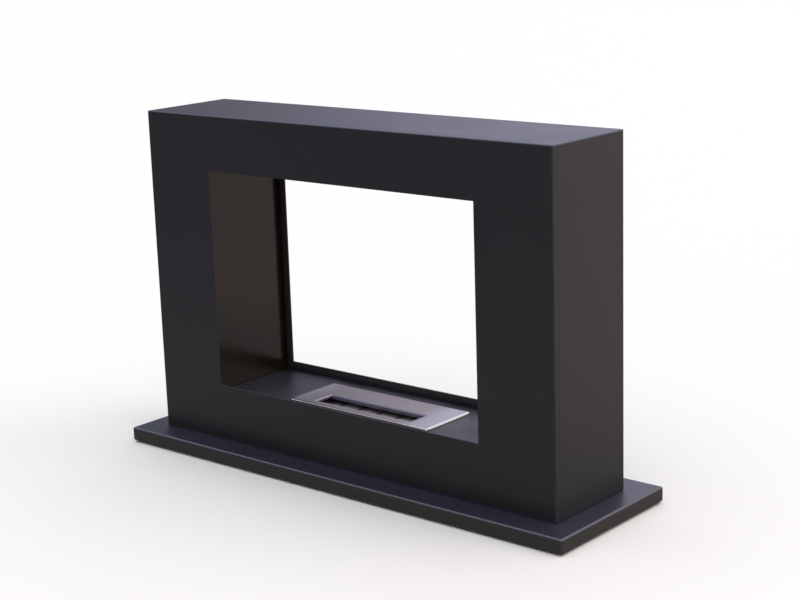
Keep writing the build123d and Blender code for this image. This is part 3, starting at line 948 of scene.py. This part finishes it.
# %% Feet
FOOT_PROFILE = (  # radius and height in mm, from the hollow in the tread outwards and up
    (0, 1.4), (6.5, 1.4), (8.0, 0.9), (8.8, 0.1), (9.2, 0), (11.6, 0), (12.4, 0.3), (12.9, 1.0),
    (13.2, 2.8), (13.2, 3.6), (12.5, 4.1), (12.5, 4.9), (13.3, 5.4), (13.6, 7.6), (12.9, 8.1),
    (12.9, 8.9), (13.8, 9.4), (14.3, 12.4), (14.9, 12.8), (15.0, 13.2), (15.0, 14.4), (14.6, 15.0),
    (0, 15.0),
)
FOOT_RADIUS = max(radius for radius, height in FOOT_PROFILE) * MM

feet_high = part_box("rubber_feet")[1]
foot_x = feet_high.x - FOOT_RADIUS
foot_y = feet_high.y - FOOT_RADIUS


def four_places(x, y, level):
    """The same place in each quarter of the fireplace, at one height."""
    return [Vector((side, depth, level)) for side in (-x, x) for depth in (-y, y)]


for foot in copies_at(turned("foot", FOOT_PROFILE), "rubber_foot", four_places(foot_x, foot_y, 0)):
    hand_over(foot, "frame", "rubber", "rubber_feet")

# %% [markdown]
# ## Screw threads
# A screw thread is a ridge that climbs by one pitch in each turn. Rings stacked on a rod look
# much the same from afar, but up close they don't climb. The Screw modifier winds a true ridge
# from its outline, round a plain core that is turned with a chamfered tip.

# %% Threads
PITCH = 1.0  # mm, as are all sizes of threads and hexagons
THREAD_RADIUS = 3.0
THREAD_STEPS = 24
CORE_RADIUS = 2.45
TIP_RADIUS = 1.9
TIP_LENGTH = 0.5
ROOT_RADIUS = CORE_RADIUS - 0.1  # the ridge is sunk a little into the core
ROOT_HEIGHTS = (0.05, 0.95)  # of the ridge's outline, within one pitch
CREST_HEIGHTS = (0.56, 0.44)
BARE_LENGTH = 1.6  # without a thread, at the tip


def threaded_shank(length):
    """A round shank with its thread, from height 0 up, in mm."""
    tip = ((CORE_RADIUS, length - TIP_LENGTH), (TIP_RADIUS, length), (0, length))
    core = turned("core", ((0, 0), (CORE_RADIUS, 0), *tip), THREAD_STEPS)
    outline = [(ROOT_RADIUS, 0, height) for height in ROOT_HEIGHTS]
    outline += [(THREAD_RADIUS, 0, height) for height in CREST_HEIGHTS]
    ridge = new_outline("ridge", outline, [(0, 1), (1, 2), (2, 3), (3, 0)])
    apply_modifier(
        ridge,
        "SCREW",
        axis="Z",
        angle=tau,
        screw_offset=PITCH * MM,
        iterations=int(length - BARE_LENGTH),
        steps=THREAD_STEPS,
        render_steps=THREAD_STEPS,
    )

    def cap():
        bpy.ops.mesh.select_all(action="DESELECT")
        bpy.ops.mesh.select_non_manifold()
        bpy.ops.mesh.fill()

    edit(ridge, cap, merge_and_turn_out)
    return join("shank", core, ridge)


# %% [markdown]
# ## Hexagons
# A hexagon nut has its corners taken off by a cone, which leaves an arc on each flat. A bevel
# would cut the corners straight. A Boolean with a turned disc cuts all six as the cone does, and
# it makes the bore with its lead-in at the same time.

# %% Hexagons
ACROSS_FLATS = 10.0
CHAMFER_RADIUS = ACROSS_FLATS / 2 * 0.96  # the cone starts a little inside the flats
CHAMFER_DEPTH = 0.62
DISC_MARGIN = 0.1  # past the hexagon's corners
LEAD_IN = 0.5


def hexagon(height, bore):
    """A hexagon with chamfered corners, from height 0 up, in mm. A bore of 0 leaves it solid."""
    corner = ACROSS_FLATS / sqrt(3)
    bpy.ops.mesh.primitive_cylinder_add(
        vertices=6,
        radius=corner * MM,
        depth=height * MM,
        location=(0, 0, height / 2 * MM),
    )
    blank = bpy.context.object
    select_only(blank)
    bpy.ops.object.transform_apply(location=True, rotation=True, scale=True)
    rim = corner + DISC_MARGIN
    lower = [(CHAMFER_RADIUS, 0), (rim, CHAMFER_DEPTH)]
    upper = [(rim, height - CHAMFER_DEPTH), (CHAMFER_RADIUS, height)]
    start = [(bore, 0)]
    finish = [(bore, height)]
    if bore:
        start = [(bore, LEAD_IN), (bore + LEAD_IN, 0)]
        finish = [(bore + LEAD_IN, height), (bore, height - LEAD_IN), (bore, LEAD_IN)]
    disc = turned("disc", start + lower + upper + finish)
    apply_modifier(blank, "BOOLEAN", operation="INTERSECT", object=disc, solver="EXACT")
    bpy.data.objects.remove(disc)
    return edit(blank, merge_and_turn_out)  # the Boolean leaves a few doubled corners


# %% [markdown]
# ## Studs, bolts and nuts
# A stud with a nut holds each foot, and four bolts with nuts hold the body to the plinth's
# stiffeners. All have the same thread, so the two helpers above make every one of them. Where each
# stands and how long it is comes from the plain solids. A bolt is a hexagon joined to a shank.

# %% Foot studs and their nuts
NUT_PLAY = 0.1
NUT_BORE = CORE_RADIUS + NUT_PLAY

stud_low, stud_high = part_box("foot_studs")
stud_model = threaded_shank((stud_high.z - stud_low.z) / MM)
for stud in copies_at(stud_model, "foot_stud", four_places(foot_x, foot_y, stud_low.z)):
    hand_over(stud, "frame", "zinc", "foot_studs", smooth_below=25)

nut_low, nut_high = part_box("foot_nuts")
nut_height = (nut_high.z - nut_low.z) / MM
nut_model = hexagon(nut_height, NUT_BORE)
for nut in copies_at(nut_model, "foot_nut", four_places(foot_x, foot_y, nut_low.z)):
    hand_over(nut, "frame", "zinc", "foot_nuts")

# %% Body bolts and their nuts
bolt_low, bolt_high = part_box("body_bolts")
web_low, web_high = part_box("plinth_channel_right")
head_height = (web_low.z - bolt_low.z) / MM
bolt_x = (web_low.x + web_high.x) / 2
bolt_y = bolt_high.y - ACROSS_FLATS / 2 * MM
bolt_head = hexagon(head_height, 0)
bolt_shank = threaded_shank((bolt_high.z - web_low.z) / MM)
bolt_shank.data.transform(Matrix.Translation((0, 0, head_height * MM)))
bolt_model = join("bolt", bolt_head, bolt_shank)
for bolt in copies_at(bolt_model, "body_bolt", four_places(bolt_x, bolt_y, bolt_low.z)):
    hand_over(bolt, "frame", "zinc", "body_bolts", smooth_below=25)

top_nut_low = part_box("body_nuts")[0]
top_nut_model = hexagon(nut_height, NUT_BORE)
for nut in copies_at(top_nut_model, "body_nut", four_places(bolt_x, bolt_y, top_nut_low.z)):
    hand_over(nut, "frame", "zinc", "body_nuts")

# %% [markdown]
# ## The floor
# The floor is pale and matt. A front face mirrors the floor before it, and a white floor would
# turn the black front grey. A photographer lays black cloth there, out of the picture. Here the
# floor itself does it: light that has bounced finds it dark far in front, a little lighter round
# the fireplace, and warm and paler at the right rear, while the camera sees it pale all over.

# %% Floor
FLOOR_SPAN = 80
FLOOR_SEEN = (0.56, 0.525, 0.465)
FLOOR_FAR_IN_FRONT = (0.153, 0.144, 0.148)
FLOOR_AROUND = (0.224, 0.203, 0.188)
FLOOR_BEHIND = (0.350, 0.276, 0.230)
TO_RIGHT_REAR = Vector((0.62, 0.78, 0))
FRONT_RAMP = (-1.9, -0.7)  # metres along that direction, from the middle of the fireplace
REAR_RAMP = (0.35, 1.15)

bpy.ops.mesh.primitive_plane_add(size=FLOOR_SPAN, location=(0, 0, 0))
floor = bpy.context.object
floor.name = "studio_floor"
paint, tree, surface, place = start_material("studio_floor", Roughness=0.9, Specular_IOR_Level=0.1)
run = calculate_vector(tree, "DOT_PRODUCT", place, TO_RIGHT_REAR)
mirrored = colour_mix(tree, smooth_step(tree, run, *FRONT_RAMP), FLOOR_FAR_IN_FRONT, FLOOR_AROUND)
mirrored = colour_mix(tree, smooth_step(tree, run, *REAR_RAMP), mirrored, FLOOR_BEHIND)
seen = add_node(tree, "LightPath").outputs["Is Camera Ray"]
tree.links.new(colour_mix(tree, seen, mirrored, FLOOR_SEEN), surface["Base Color"])
floor.data.materials.append(paint)
print("floor:", FLOOR_SPAN, "m wide")

# %% [markdown]
# ## The sky dome
# Black paint shows little light of its own. What the eye reads as its shape is mostly what it
# mirrors, so the studio is built as a room to be mirrored. The sky is a dome that is dim at the
# horizon and bright and cool overhead, with three soft windows. Lamps would do too, but a lamp
# near the object leaves a bright patch on the floor, and the dome is infinitely far away, so its
# light is even. The camera itself sees a plain white backdrop.

# %% Sky dome
HORIZON = (0.10, 0.10, 0.12)
ZENITH = (2.52, 2.70, 3.18)
DOME_RAMP = (0.34, 1.0)  # upward part of the direction
BACKDROP = (1.0, 1.0, 1.0)

world = bpy.data.worlds.new("studio")
bpy.context.scene.world = world
world.use_nodes = True
dome = world.node_tree
dome.nodes.clear()
direction = add_node(dome, "TexCoord").outputs["Generated"]
upward = parts_of(dome, direction)["Z"]
sky = colour_mix(dome, smooth_step(dome, upward, *DOME_RAMP), HORIZON, ZENITH)
print("dome: from", HORIZON, "to", ZENITH)

# %% [markdown]
# ## Windows in the dome
# Each window is a round patch of light that fades towards its rim. The cool one behind slides
# over the top, the plinth and the hearth, and gets brighter to the right. The pale one in front
# lifts the front face a little. The warm one, low at the right rear, shows in the body's side and
# in the tunnel's left wall.

# %% Windows
def add_window(sky, azimuth, elevation, full, gone, colour):
    """A window at these angles, azimuth 0 at the rear and 90 at the left. It is full up to one
    angle from its middle and gone past the other. All angles are in degrees."""
    lifted = Vector((0, cos(radians(elevation)), sin(radians(elevation))))
    middle = Matrix.Rotation(radians(azimuth), 3, "Z") @ lifted
    towards = calculate_vector(dome, "DOT_PRODUCT", direction, middle)
    share = smooth_step(dome, towards, cos(radians(gone)), cos(radians(full)))
    return colour_mix(dome, share, sky, colour, "ADD")


sky = add_window(sky, azimuth=10, elevation=11, full=24, gone=37.2, colour=(0.87, 0.84, 1.10))
sky = add_window(sky, azimuth=205, elevation=12, full=25, gone=60, colour=(0.90, 0.86, 0.82))
sky = add_window(sky, azimuth=-48, elevation=12, full=14, gone=42, colour=(1.30, 1.12, 1.05))
seen = add_node(dome, "LightPath").outputs["Is Camera Ray"]
background = add_node(dome, "Background", None, Color=colour_mix(dome, seen, sky, BACKDROP))
end = dome.nodes.new("ShaderNodeOutputWorld")
dome.links.new(background.outputs[0], end.inputs["Surface"])
print("nodes in the dome:", len(dome.nodes))

# %% [markdown]
# ## The sun
# The dome alone would leave the object floating. A weak and very wide sun from the upper right
# adds warm light to the side and a soft shadow on the floor. The plain Standard view keeps the
# tones as they are worked out, so that black stays black and the backdrop white.

# %% Sun and view
SUN_STRENGTH = 0.8
SUN_WIDTH = 50
SUN_COLOUR = (1.0, 0.93, 0.84)
SUN_FROM = Vector((5, 1.5, 5))

sun = bpy.data.objects.new("sun", bpy.data.lights.new("sun", "SUN"))
bpy.context.scene.collection.objects.link(sun)
sun.data.energy = SUN_STRENGTH
sun.data.angle = radians(SUN_WIDTH)
sun.data.color = SUN_COLOUR
sun.rotation_euler = SUN_FROM.to_track_quat("Z", "Y").to_euler()
bpy.context.scene.view_settings.view_transform = "Standard"
print("sun:", SUN_WIDTH, "degrees wide")
